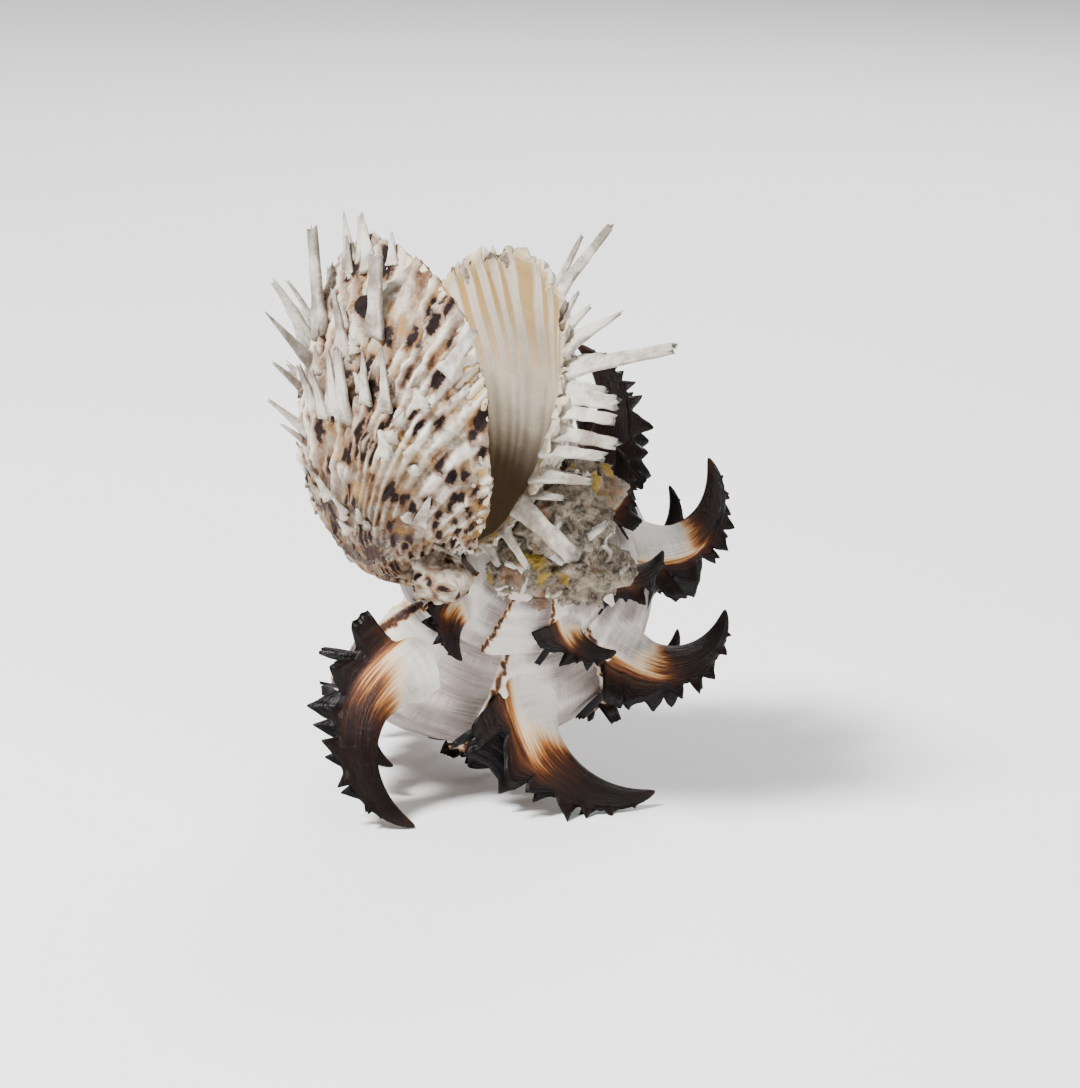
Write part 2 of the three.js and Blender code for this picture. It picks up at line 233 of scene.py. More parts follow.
class Value:
    """A socket of a material. Sums and products of values add Math nodes."""

    def __init__(self, finish, socket):
        self.finish, self.socket = finish, socket

    def math(self, operation, *others):
        terms = dict(enumerate((self, *others)))
        return self.finish.node("ShaderNodeMath", {"operation": operation}, terms)

    def __add__(self, other): return self.math("ADD", other)
    def __radd__(self, other): return self.math("ADD", other)
    def __sub__(self, other): return self.math("SUBTRACT", other)
    def __rsub__(self, other): return self.math("MULTIPLY", -1).math("ADD", other)
    def __mul__(self, other): return self.math("MULTIPLY", other)
    def __rmul__(self, other): return self.math("MULTIPLY", other)


class Finish:
    """A material built up from expressions round one Principled shader."""

    def __init__(self, name, **shader):
        self.material = bpy.data.materials.new(name)
        self.material.use_nodes = True
        self.tree = self.material.node_tree
        self.shader = self.tree.nodes["Principled BSDF"]
        for socket, value in shader.items():
            self.shader.inputs[socket.replace("_", " ")].default_value = value

    def node(self, kind, settings=(), inputs=(), out=0):
        """Any node: its type, its settings, and its sockets by name or number."""
        node = self.tree.nodes.new(kind)
        for setting, value in dict(settings).items():
            setattr(node, setting, value)
        for socket, value in dict(inputs).items():
            self.join(node.inputs[socket], value)
        return Value(self, node.outputs[out])

    def join(self, socket, value):
        if isinstance(value, Value):
            self.tree.links.new(value.socket, socket)
        else:
            socket.default_value = value

    def field(self, name):
        return self.node("ShaderNodeAttribute", {"attribute_name": name}, out="Fac")

    def place(self):
        return self.node("ShaderNodeTexCoord", out="Object")

    def vector(self, x, y=0.0, z=0.0):
        return self.node("ShaderNodeCombineXYZ", (), {0: x, 1: y, 2: z})

    def noise(self, vector, scale, detail=3.0, rough=0.5, distortion=0.0):
        return self.node("ShaderNodeTexNoise", (), {
            "Vector": vector, "Scale": scale, "Detail": detail, "Roughness": rough,
            "Distortion": distortion})

    def cells(self, vector, scale):
        """Distance to the nearest of scattered points."""
        return self.node("ShaderNodeTexVoronoi", (), {"Vector": vector, "Scale": scale}, "Distance")

    def step(self, value, low, high):
        """0 below low, 1 above high, and a smooth step between."""
        return self.node("ShaderNodeMapRange", {"interpolation_type": "SMOOTHSTEP"}, {
            "Value": value, "From Min": low, "From Max": high})

    def mix(self, a, b, factor):
        """Colour a where the factor is 0, colour b where it is 1."""
        colours = {k: v if isinstance(v, Value) else (*v, 1.0) for k, v in ((6, a), (7, b))}
        return self.node("ShaderNodeMix", {"data_type": "RGBA"}, {0: factor, **colours}, 2)

    def ramp(self, value, *stops):
        """Colour by value: stops of (place, colour)."""
        ramp = self.node("ShaderNodeValToRGB", (), {0: value})
        elements = ramp.socket.node.color_ramp.elements
        for k, (place, colour) in enumerate(stops):
            element = elements[k] if k < 2 else elements.new(place)
            element.position, element.color = place, (*colour, 1.0)
        return ramp

    def raised(self, height, depth):
        """Bump the surface by a height from 0 to 1, depth metres deep."""
        return self.node("ShaderNodeBump", (), {"Strength": 1.0, "Distance": depth, "Height": height})

    def finish(self, **sockets):
        for socket, value in sockets.items():
            self.join(self.shader.inputs[socket.replace("_", " ")], value)
        return self.material


def murex_finish(name, gloss):
    """Porcelain white to mauve grey, the white partly painted highlight on raised relief; where the dark
    field rises it runs through tan to near black.
    """
    f = Finish(name, IOR=1.5, Specular_IOR_Level=gloss)
    dark, across, along, white = (f.field(n) for n in ("dark", "across", "along", "white"))
    streak = f.noise(f.vector(across * 0.9, along * 0.09), 1.6, 5, 0.65)
    blotch = f.noise(f.place(), 60, 5, 0.6)
    thread = f.noise(f.vector(across * 1.5, along * 0.05), 2.0, 3, 0.5)
    growth_line = f.noise(f.vector(along * 1.1, across * 0.06), 1.5, 4, 0.6)
    grain = f.noise(f.place(), 700, 3, 0.6)
    grey = f.step(blotch + (thread - 0.5) * 0.5, 0.30, 0.70)
    pale = f.mix((0.15, 0.112, 0.098), (0.37, 0.31, 0.28), grey)
    # Whiter where the white field rises: the shell's own pale colour, with painted highlight on the raised
    # knobs and cords.
    white_and_highlight = f.step(white + (blotch - 0.5) * 0.7 + (growth_line - 0.5) * 0.4, 0.12, 0.62)
    pale = f.mix(pale, (0.72, 0.67, 0.61), white_and_highlight)
    stained = f.step(dark, 0.04, 0.3)
    streaks = (streak - 0.5) * (1.0 - f.step(dark, 0.3, 0.6) * 0.55)
    shade = dark + streaks * stained + (blotch - 0.5) * 0.25 * stained
    brown = f.ramp(
        shade, (0.0, (0.70, 0.64, 0.56)), (0.1, (0.64, 0.47, 0.29)), (0.2, (0.33, 0.13, 0.032)),
        (0.30, (0.10, 0.030, 0.008)), (0.42, (0.030, 0.009, 0.004)), (0.58, (0.008, 0.003, 0.002)),
        (0.8, (0.002, 0.001, 0.001)))
    colour = f.mix(pale, brown, f.step(shade, 0.02, 0.1))
    rough = 0.42 - f.step(dark, 0.2, 0.6) * 0.1 + (grain - 0.5) * 0.2
    height = thread * 0.5 + streak * 0.5 * stained + growth_line * 0.3 + grain * 0.1
    return f.finish(Base_Color=colour, Roughness=rough, Normal=f.raised(height, 0.0007))


PORCELAIN = murex_finish("porcelain", 0.45)


def body_rows():
    """Angles of the rings, close together at the sharp edge of each varix."""
    edges = varix_edges()
    t = np.arange(WHORL_ROWS) / WHORL_ROWS
    near = t - 0.82 * np.sin(2 * np.pi * t) / (2 * np.pi)
    rows = [edges[k] + (edges[k + 1] - edges[k]) * near[:: 1 + k // 8] for k in range(len(edges) - 1)]
    return np.concatenate(rows)


# The oyster that grew on the spire presses on it. Its hinge line is one side of every ring of its
# valves, and the spire never reaches through the valve that is cemented to it.
HINGE = np.array([-16.9, -1.9, -21.6])
HINGE_ALONG = unit(np.array([0.22, -0.505, 0.835]))
HINGE_ACROSS = unit(np.cross(HINGE_ALONG, [0.158, 0.863, 0.481]))
HINGE_UP = np.cross(HINGE_ACROSS, HINGE_ALONG)
AXIS_GAP = 2
SQUARE = 0.82  # below 1 a ring is squarer than an ellipse
CEMENTED = dict(side=-1, height=51, width=51, flare=-0.04, coil=0.9, umbo=112, floor=84, twist=0)
VALVE_DEPTH = 5  # room left for the wall of the valve, degrees round the hinge line


def in_oyster(x, distance, turn):
    """Point by its place along the hinge line, its distance from it and the turn round it."""
    turn = np.radians(turn)
    return (HINGE + x[..., None] * HINGE_ALONG + (distance * np.cos(turn))[..., None] * HINGE_UP
            + (distance * np.sin(turn))[..., None] * HINGE_ACROSS)


def press_behind(shape, points):
    """Points that would stand in the bowl of the cemented valve are turned round the hinge line until
    they are behind it. A ring of the valve is smaller the further it is turned, so the smallest ring
    that a point is inside of gives the turn of the wall behind it."""
    away = points - HINGE
    x, up, over = away @ HINGE_ALONG, away @ HINGE_UP, away @ HINGE_ACROSS
    distance, turn = np.hypot(up, over), -np.degrees(np.arctan2(over, up))
    wall = np.full(turn.shape, -999.0)
    power = 2 / SQUARE
    for ring in np.arange(0, 115, 1.5):
        size = np.exp(-np.radians(ring) / shape["coil"])
        tall = np.abs(distance / size - AXIS_GAP - shape["height"] / 2) / (shape["height"] / 2)
        wide = np.abs(x / size) / (shape["width"] / 2)
        wall = np.where(tall**power + wide**power < 1, ring, wall)
    moved = (turn > -40) & (turn < wall + VALVE_DEPTH)
    return np.where(moved[..., None], in_oyster(x, distance, -(wall + VALVE_DEPTH)), points)


def closing_line(size):
    """Inside line of a section: from the foot of the outline in to the axis and up it."""
    line = np.array([[2.6, -85.3], [1.0, -84], [0.8, -66], [0.8, -48], [0.8, -32], [0.9, -21]])
    return line * size[:, None, None]


def mouth_point(back, turn, close=1.0, flare=1.0):
    """The hollow inside the last whorl: an oval at each angle back from the lip."""
    size = growth(back)
    r = (MOUTH["r"] + MOUTH["half_r"] * np.cos(turn) * close * flare) * size
    z = (MOUTH["z"] + MOUTH["half_z"] * np.sin(turn) * close * flare) * size
    return on_coil(LIP_ANGLE + back, r, z)


def murex_body():
    """The coil and the hollow behind its lip, as one grid of rings, with its stains and its white, which is
    partly painted highlight on the raised knobs and cords.
    """
    backs = body_rows()
    u = np.linspace(0, 1, OUTLINE_COLUMNS)
    outside = body_point(backs[:, None], u[None])
    line = closing_line(growth(backs))
    inside = on_coil((LIP_ANGLE + backs)[:, None], line[..., 0], line[..., 1])
    coil = np.concatenate([outside, inside], 1)

    # The lip's face and the hollow behind it, as rings of the same columns.
    lip = backs[0]
    flat = np.concatenate([curve_through(WHORL_OUTLINE, u), line[0] / growth(lip)])
    over_r = (flat[:, 0] - MOUTH["r"]) / MOUTH["half_r"]
    turn = np.arctan2((flat[:, 1] - MOUTH["z"]) / MOUTH["half_z"], over_r)
    rim = mouth_point(lip, turn, flare=1.04)
    share = np.linspace(0, 1, 14)[1:-1, None, None]
    face = coil[0] * (1 - share) + rim * share
    forward = on_coil(LIP_ANGLE + lip - 90, 1.0, 0.0)
    face = face + forward * 1.3 * np.sin(np.pi * np.clip(share * 1.25, 0, 1)) ** 0.7
    deep = np.linspace(lip, MOUTH["depth"], 60)
    close = 1 - 0.75 * ease(deep, MOUTH["depth"] - 40, MOUTH["depth"])
    hollow = mouth_point(deep[:, None], turn[None], close[:, None], 1 + 0.04 * bump(deep[:, None] - lip, 5))

    rings = press_behind(CEMENTED, np.concatenate([hollow[::-1], face[::-1], coil]))
    columns = np.concatenate([u, np.full(line.shape[1], 0.5)])
    waver = 0.5 * np.sin(columns * 190) + 0.4 * np.sin(columns * 410 + backs[:, None])
    behind = behind_varix(backs)[:, None] + waver
    edge = bump(behind - 0.2, 0.95) * ease(columns, 0.06, 0.16) * (1 - 0.5 * ease(columns, 0.8, 1))
    dark = np.zeros(rings.shape[:2])
    dark[-len(backs):] = 0.46 * edge
    rows_in = len(hollow)
    dark[rows_in:-len(backs)] = 0.5 * bump(share[::-1, :, 0], 0.2)
    # White on the knobs, the cord tops and the slope behind each varix: partly the shell's own pale colour,
    # partly painted highlight on the raised relief.
    white = np.zeros_like(dark)
    feet = bump(behind_varix(backs)[:, None] - 13, 14) * bump((columns - 0.335) / 0.11, 1)
    white[-len(backs):] = (0.8 * knob_height(backs[:, None], columns) + 0.2 * cord_height(columns)
                           + 0.4 * bump(behind_varix(backs)[:, None] - 3, 6) + 0.8 * feet)
    white[:rows_in] = 0.7
    across = np.broadcast_to(columns * OUTLINE_LENGTH, dark.shape)
    along = np.zeros_like(dark)
    along[-len(backs):] = (backs * growth(backs) * 0.5)[:, None]
    return rings, dict(dark=dark, white=white, across=across, along=along)


murex = Grids("dark", "white", "across", "along")
murex.add(*murex_body())

# ---------------- the murex's fronds
# At each varix the lip grew out in folded horns, longest at the shoulder, that curl against the
# coiling. They are white at the foot and brown to black towards the tip, and their front edges are
# black and cut into hooked teeth.

SHOULDER = (28.5, -30.5, 0.325)
FRONDS = table("back length lean curl half pale seed", [
    (0, 34.5, -6, 135, 6.6, 0.1, 1),
    (44, 32, 14, 130, 6.8, 0.16, 2),
    (91, 26.5, 12, 144, 6, 0.16, 3),
    (137, 26.5, 0, 128, 5.8, 0.24, 4),
    (179, 25, 10, 120, 5.4, -0.4, 5),
    (224, 24, 0, 120, 5, 0.1, 6),
    (269, 22, 0, 115, 4.8, 0.1, 7),
    (312, 11, 0, 110, 4.0, 0.1, 8),
])
ROW_SIZES = (0.62, 0.74, 1, 1, 1, 1, 1)  # of the rows below each frond; the last has none
ROWS = table("r z u share turn dip taper", [
    (31, -42, 0.5, 0.72, 18, 2, 0.6),
    (27.5, -54, 0.62, 0.42, 10, 16, 0.58),
    (17, -66, 0.76, 0.5, 5, 32, 0.52),
    (9.5, -78, 0.9, 0.6, 0, 46, 0.48),
])
SPIRE_FRONDS = [(357, 10), (424, 11), (472, 12), (520, 12), (565, 10)]  # back and length
CURL_LATE = 1.3
CURL_LAG = 1 / 14  # share of its length that a horn grows before it starts to curl
TIP_TAPER = 0.65
FROND_DEPTH = 0.55
FEWEST_RINGS = 5  # a horn with fewer rings left is left out
FRONT_EDGES = (0.42, -0.42)  # where the two toothed edges stand round a horn, radians from its front


def toothed_edge(s, half, length, rng, count, first):
    """How far a front edge stands out along a horn, and how far its teeth hook towards the tip: each
    tooth is a triangle, the first a square-ended stub, and they are smaller further out."""
    place = first + np.linspace(0, 0.7, count) + rng.uniform(-0.03, 0.03, count)
    tall = half * (1.15 - 1.2 * place) * rng.uniform(0.55, 1.15, count)
    wide = tall * rng.uniform(0.34, 0.62, count) / length
    wide[0] *= 0.7
    shape = np.clip(1 - np.abs(s[:, None] - place) / wide, 0, 1)
    shape[:, 0] = np.clip(2.2 * shape[:, 0], 0, 1)
    best = (shape * tall).argmax(1)
    rise = (shape * tall).max(1)
    ragged = 0.06 * half * (1 - s) * (0.5 + 0.5 * np.sin(s * 170 + rng.uniform(0, 6)))
    return rise + ragged + 0.1 * half * (1 - s), rise * rng.uniform(-0.7, 0.6, count)[best]


def frond(back, r, z, u, length, lean, curl, half, dip=0.0, seed=0, pale=0.12, steps=150,
          columns=48, teeth=7):
    """A curling horn. Its heading turns from lean to curl along it, and its foot widens into the
    body's own surface behind the varix. A groove runs up its front between two toothed edges."""
    angle = LIP_ANGLE + back
    out, around, down = on_coil(angle, 1.0, 0.0), on_coil(angle + 90, 1.0, 0.0), np.array([0, 0, -1.0])
    part = np.linspace(0, 1, steps)
    turn = np.radians(lean + (curl - lean) * np.clip(part - CURL_LAG, 0, 1) ** CURL_LATE)[:, None]
    level = out * np.cos(turn) + around * np.sin(turn)
    ahead = level * np.cos(np.radians(dip)) + down * np.sin(np.radians(dip))
    across = unit(np.cross(down, ahead))
    over = np.cross(ahead, across)
    centre = on_coil(angle, r - half, z) + np.concatenate(
        [np.zeros((1, 3)), np.cumsum(ahead[:-1] * (length + half) / (steps - 1), 0)])
    first = int(steps * 0.62 * half / (length + half))
    part, ahead, across, over, centre = (v[first:] for v in (part, ahead, across, over, centre))
    s = (part - part[0]) / (1 - part[0])

    rng = np.random.default_rng(seed)
    round_ = np.linspace(0, 2 * np.pi, columns, endpoint=False)
    round_ = round_ - 0.6 * np.sin(round_)  # closer together on the toothed side
    front, off_front = np.cos(round_), np.angle(np.exp(1j * round_))
    groove = 0.4 * bump(off_front, 0.24) * ease(s, 0.08, 0.25)[:, None]
    ridges = 0.035 * np.cos(round_ * 11 + rng.uniform(0, 6) + 3 * s[:, None]) * ease(s, 0.05, 0.3)[:, None]
    relief = 1 - groove + ridges - 0.2 * np.clip(front, 0, 1)
    width = (half * (1 - part) ** TIP_TAPER + 0.12)[:, None] * relief
    horn = (centre[:, None] + (width * front)[..., None] * across[:, None]
            + (width * FROND_DEPTH * np.sin(round_))[..., None] * over[:, None])
    size = growth(back)
    trail = np.degrees(1.5 * half / (r + 1e-6))
    reach = np.where(front > 0, min(VARIX_LEAD, trail), trail)
    foot = body_point(back - reach * front, u + 0.09 * half / 6 / size * np.sin(round_), sink=0.3)
    held = ease(s, 0.0, 0.36)[:, None, None]
    grid = foot[None] * (1 - held) + horn * held
    for edge in FRONT_EDGES:
        stand, hook = toothed_edge(s, half, length, rng, teeth, 0.1 if edge > 0 else 0.17)
        share = (bump(off_front - edge, 0.2) * ease(s, 0.0, 0.03)[:, None])[..., None]
        sideways = across + np.sign(edge) * 0.3 * over
        grid = grid + share * (stand[:, None] * sideways + hook[:, None] * ahead)[:, None]
    grid = np.concatenate([grid[:1] - out * 1.5, grid])

    s = np.concatenate([[0], s])[:, None]
    flange = bump(off_front, 0.72) * ease(s, 0.0, 0.07)
    trailing = np.clip(-front, 0, 1)
    shade = 0.46 * ease(s, pale, pale + 0.34) + 0.2 * ease(s, pale + 0.2, 0.7) - 0.2 * ease(s, 0.84, 1)
    shade = np.maximum(shade - 0.2 * trailing * (1 - s), 1.15 * flange - 0.45 * ease(s, 0.8, 1))
    white = 0.62 * (1 - ease(s, pale, pale + 0.3)) * (0.7 + 0.3 * trailing)
    return grid, dict(dark=shade, white=white, across=round_ * half + seed * 7, along=s * length)


def shoulder_frond(back, **shape):
    """A frond at the shoulder, where the size of the coil sets its place."""
    size = growth(back)
    r, z, u = SHOULDER
    return frond(back, r * size, z * size, u, **shape)


def small_fronds():
    """The rows below the shoulder on each large frond's varix, then the fronds of the spire."""
    for f, row_size in zip(FRONDS, ROW_SIZES):
        size = growth(f["back"])
        for k, row in enumerate(ROWS):
            yield frond(
                f["back"], row["r"] * size, row["z"] * size, row["u"],
                length=f["length"] * row["share"] * row_size, lean=f["lean"] + row["turn"],
                curl=f["curl"], half=f["half"] * row["taper"], dip=row["dip"],
                seed=f["seed"] * 10 + k, steps=80, columns=28, teeth=5)
    for k, (back, length) in enumerate(SPIRE_FRONDS):
        yield shoulder_frond(back=back, length=length, lean=5, curl=110, half=3.6, seed=11 + k,
                             steps=90, columns=36, teeth=5)


def add_horn(piece, grid, fields):
    """A horn that the oyster grew over ends at the ring where it meets the cemented valve."""
    met = (press_behind(CEMENTED, grid) != grid).any((1, 2))
    rows = met.argmax() if met.any() else len(grid)
    if rows >= FEWEST_RINGS:
        fields = {name: np.broadcast_to(value, grid.shape[:2])[:rows] for name, value in fields.items()}
        piece.add(grid[:rows], fields)


HORN = murex_finish("brown_horn", 0.16)
horns = Grids("dark", "white", "across", "along")
for f in FRONDS:
    add_horn(horns, *shoulder_frond(**f))
sprigs = Grids("dark", "white", "across", "along")
for sprig in small_fronds():
    add_horn(sprigs, *sprig)

CANAL = dict(r=6, top=-62, tip=-104, top_half=7.5, tip_half=3.4)


def canal():
    """The siphonal canal: a tapering trough that runs on from the mouth, slotted along the lip side."""
    t = np.linspace(0, 1, 60)[:, None]
    half = CANAL["top_half"] + (CANAL["tip_half"] - CANAL["top_half"]) * t
    round_ = np.linspace(0, 2 * np.pi, 40, endpoint=False)
    slot = 0.55 * bump(np.angle(np.exp(1j * (round_ + np.pi / 2))), 0.35)
    ribs = 1 + 0.03 * np.sin(t * 60) * (1 - slot)
    z = CANAL["top"] + (CANAL["tip"] - CANAL["top"]) * t
    centre = on_coil(LIP_ANGLE, CANAL["r"], z)
    side = (half * 0.8 * np.cos(round_) * ribs * (1 - slot))[..., None] * on_coil(LIP_ANGLE, 1.0, 0.0)
    front = (half * np.sin(round_) * ribs * (1 - slot))[..., None] * on_coil(LIP_ANGLE + 90, 1.0, 0.0)
    # Darker towards the tip of the canal, and darker along the slot as painted shade in its slit.
    shade = 0.05 + 0.45 * ease(t, 0.55, 1) + 0.3 * slot
    return centre + side + front, dict(dark=shade, white=0.3, across=round_ * 5, along=t * 40)


murex.add(*canal())
body_piece = murex.piece("murex_body", PORCELAIN, "murex_shell")
horn_piece = horns.piece("murex_fronds", HORN, "murex_shell")
sprig_piece = sprigs.piece("murex_small_fronds", HORN, "murex_shell")
for piece in (body_piece, horn_piece, sprig_piece):
    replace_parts(piece, "murex_shell")

# ---------------- the oyster's cemented valve
# The right valve of a thorny oyster, grown fast to the spire: a fluted bowl with a thin ragged
# edge, cream inside with tan flutes at its margin, and long flat spines along its near edge.

GAPE = 25  # how far the valves stand apart, degrees
RIBS = 38
PER_DEGREE = 0.47  # length of the margin for each degree of place, mm


def valve_point(shape, place, turn, inset=0.0, swell=1.0):
    """A ring of a valve lies in a plane through the hinge line; the further that plane is turned
    from the margin, the smaller the ring. place is the angle round the ring, 0 at the top."""
    place, turn = np.broadcast_arrays(np.asarray(place, float), np.asarray(turn, float))
    scale = np.exp(-np.radians(turn) / shape["coil"]) * swell
    sine, cosine = np.sin(np.radians(place)), np.cos(np.radians(place))
    wide = shape["width"] / 2 * np.sign(sine) * np.abs(sine) ** SQUARE * (1 + shape["flare"] * cosine)
    half = shape["height"] / 2
    tall = half * np.sign(cosine) * np.abs(cosine) ** SQUARE
    opened = shape["side"] * turn + (GAPE if shape["side"] > 0 else 0)
    return in_oyster(wide * (1 - inset) * scale, (AXIS_GAP + half + tall * (1 - inset)) * scale, opened)


def rib_places(seed):
    """Where the ribs stand round the margin, and how tall each is."""
    rng = np.random.default_rng(seed)
    places = -180 + 360 / RIBS * (np.arange(RIBS) + rng.uniform(-0.22, 0.22, RIBS))
    return places, rng.uniform(0.55, 1.1, RIBS)


def rib_twist(shape, place, turn):
    """How far a rib wanders round the shell between the margin and a ring: most at the top."""
    return (shape["twist"] * (1 - np.exp(-np.asarray(turn) / 22)) * ease(place, -160, -100)
            * (1 - ease(place, 20, 70)))


def rib_height(place, seed):
    """Relief of the ribs round the margin: one rounded ridge at each rib place, of its own height,
    with finer ones between."""
    ribs, tall = rib_places(seed)
    off = np.mod(place[..., None] - ribs + 180, 360) - 180
    return (bump(off, 2.5) * tall).max(-1) + 0.18 * (0.5 + 0.5 * np.cos(np.radians(place) * 3 * RIBS))


def normals(grid):
    """Normals of a round grid, from the differences of its neighbours; their sign isn't set."""
    down = np.gradient(grid, axis=0)
    wrapped = np.concatenate([grid[:, -1:], grid, grid[:, :1]], 1)
    return unit(np.cross(down, wrapped[:, 2:] - wrapped[:, :-2]))


def outward(grid):
    """Normals turned away from the hollow of the valve."""
    n = normals(grid)
    hollow = HINGE + 0.55 * (grid[-1].mean(0) - HINGE)
    return n * np.sign(np.einsum("ijk,ijk->ij", n, grid - hollow))[..., None]


def valve(shape, seed, flutes, relief, columns=360):
    """Outside from the umbo to the margin, over the edge, and down the inside to the floor. The
    outside is lifted by ribs, growth steps and erosion; the inside by flutes at its margin."""
    place = np.linspace(-180, 180, columns, endpoint=False)
    outer = np.concatenate([np.linspace(shape["umbo"], 24, 64), np.linspace(23, 0, 60)])[:, None]
    over_ribs = place - rib_twist(shape, place, outer)
    ribs = rib_height(over_ribs, seed)
    along = np.stack([place * PER_DEGREE, 0 * place, 0 * place], -1)
    ragged = (0.016 * crumple(along, 5, seed) + 0.012 * crumple(along, 1.6, seed + 1)
              + 0.014 * (ribs[-1] - 0.5))
    swell = 1 - 0.012 + np.minimum(ragged, 0.012) * bump(outer, 7)
    outside = valve_point(shape, place, outer, 0, swell)
    size = np.exp(-np.radians(outer) / shape["coil"])
    steps = np.mod(outer * 0.2 + 0.35 * crumple(along, 9, seed + 3), 1) ** 2
    worn = crumple(outside, 9, seed + 5)
    pitted = crumple(outside, 2.2, seed + 6)
    ribs = ribs * (0.25 + 0.75 * ease(size + 0.1 * worn, 0.4, 0.72))
    lift = (size**0.7 * (ribs * (1.2 + 0.5 * worn) + 0.4 * steps) + 0.3 * worn + 0.26 * pitted
            + 0.14 * crumple(outside, 1.0, seed + 7))
    outside = outside + outward(outside) * (relief * (lift - 0.5) * ease(size, 0.12, 0.3))[..., None]

    inner = np.concatenate([np.linspace(0, 20, 34), np.linspace(21, shape["floor"], 26)])[:, None]
    inset = 0.022 + 0.05 * ease(inner, 0, 26) + inner / 900
    flute = 0.5 + 0.5 * np.cos(np.radians(place) * flutes + 1.6 * crumple(along, 14, seed + 8))
    inset = inset + 0.034 * (flute - 0.5) * bump(inner, 26)
    meets_edge = swell.min() + 0 * inner + (swell[-1:] - swell.min()) * bump(inner, 4)
    inside = valve_point(shape, place, inner, inset, meets_edge)
    grid = np.concatenate([outside, inside])

    def both(outer_value, inner_value):
        return np.concatenate([outer_value + 0 * outside[..., 0], inner_value + 0 * inside[..., 0]])

    fields = dict(
        inside=both(0, 1), crest=both(np.clip(ribs, 0, 1), flute),
        place=both(over_ribs * PER_DEGREE, place * PER_DEGREE),
        reach=both(size, np.exp(-np.radians(inner) / shape["coil"])), worn=both(worn, 0))
    return grid, fields


def blade(foot, along, across, length, half, square=0.0, bend=0.0, gutter=0.4, rows=16, columns=14):
    """A flat spike: its width falls to a share, square, of itself at the tip, its foot is flared, and
    it bends towards its guttered face."""
    over = np.cross(along, across)
    t = np.linspace(0, 1, rows)[:, None]
    turn = np.radians(bend) * t
    heading = along * np.cos(turn) + over * np.sin(turn)
    normal = over * np.cos(turn) - along * np.sin(turn)
    centre = foot + np.concatenate([np.zeros((1, 3)), np.cumsum(heading[:-1] * length / (rows - 1), 0)])
    taper = square + (1 - square) * (1 - t**1.5) + 0.5 * bump(t, 0.22)
    width, depth = half * taper + 0.08, 0.72 * half**0.7 * taper + 0.08
    round_ = np.linspace(0, 2 * np.pi, columns, endpoint=False)
    side, top = np.cos(round_), np.sin(round_)
    top = top - gutter * np.where(top > 0, 2.0 * (1 - side**2), 0) + 0.5 * gutter * side**2
    torn = np.cos(3 * round_ + 9 * length) + np.cos(5 * round_ + 4 * length)
    torn = 0.35 * half * torn * bump(1 - t, 0.09)
    width = width * (1 + 0.09 * np.sin(t * 17 + length * 5 + 2 * round_))
    return (centre[:, None] + (width * side)[..., None] * across
            + (depth * top)[..., None] * normal[:, None] + torn[..., None] * heading[:, None])


def spine(shape, place, turn, length, off, sideways=0.0, half=1.5, square=0.35, bend=0.0, roll=0.0,
          gutter=0.4, face=1, rows=16):
    """A flat guttered spine off the outside of a valve, off degrees from the surface, sideways
    degrees round it and rolled about its own length."""
    foot = valve_point(shape, place, turn)
    ahead = unit(valve_point(shape, place, turn - 1) - foot)
    across = unit(valve_point(shape, place + 1, turn) - foot)
    out = unit(np.cross(across, ahead) * shape["side"])
    ahead = unit(ahead + np.cross(ahead, out) * np.tan(np.radians(sideways)))
    across = np.cross(ahead, out) * face
    along = ahead * np.cos(np.radians(off)) + out * np.sin(np.radians(off))
    across = across * np.cos(np.radians(roll)) + np.cross(along, across) * np.sin(np.radians(roll))
    grid = blade(foot - along * 1.2, along, across, length + 1.2, half, square, bend, gutter, rows)
    t = np.linspace(0, 1, rows)[:, None]
    return grid, dict(thorn=0.3 + 0.7 * t, crest=0.6, place=place * PER_DEGREE, reach=0.9)


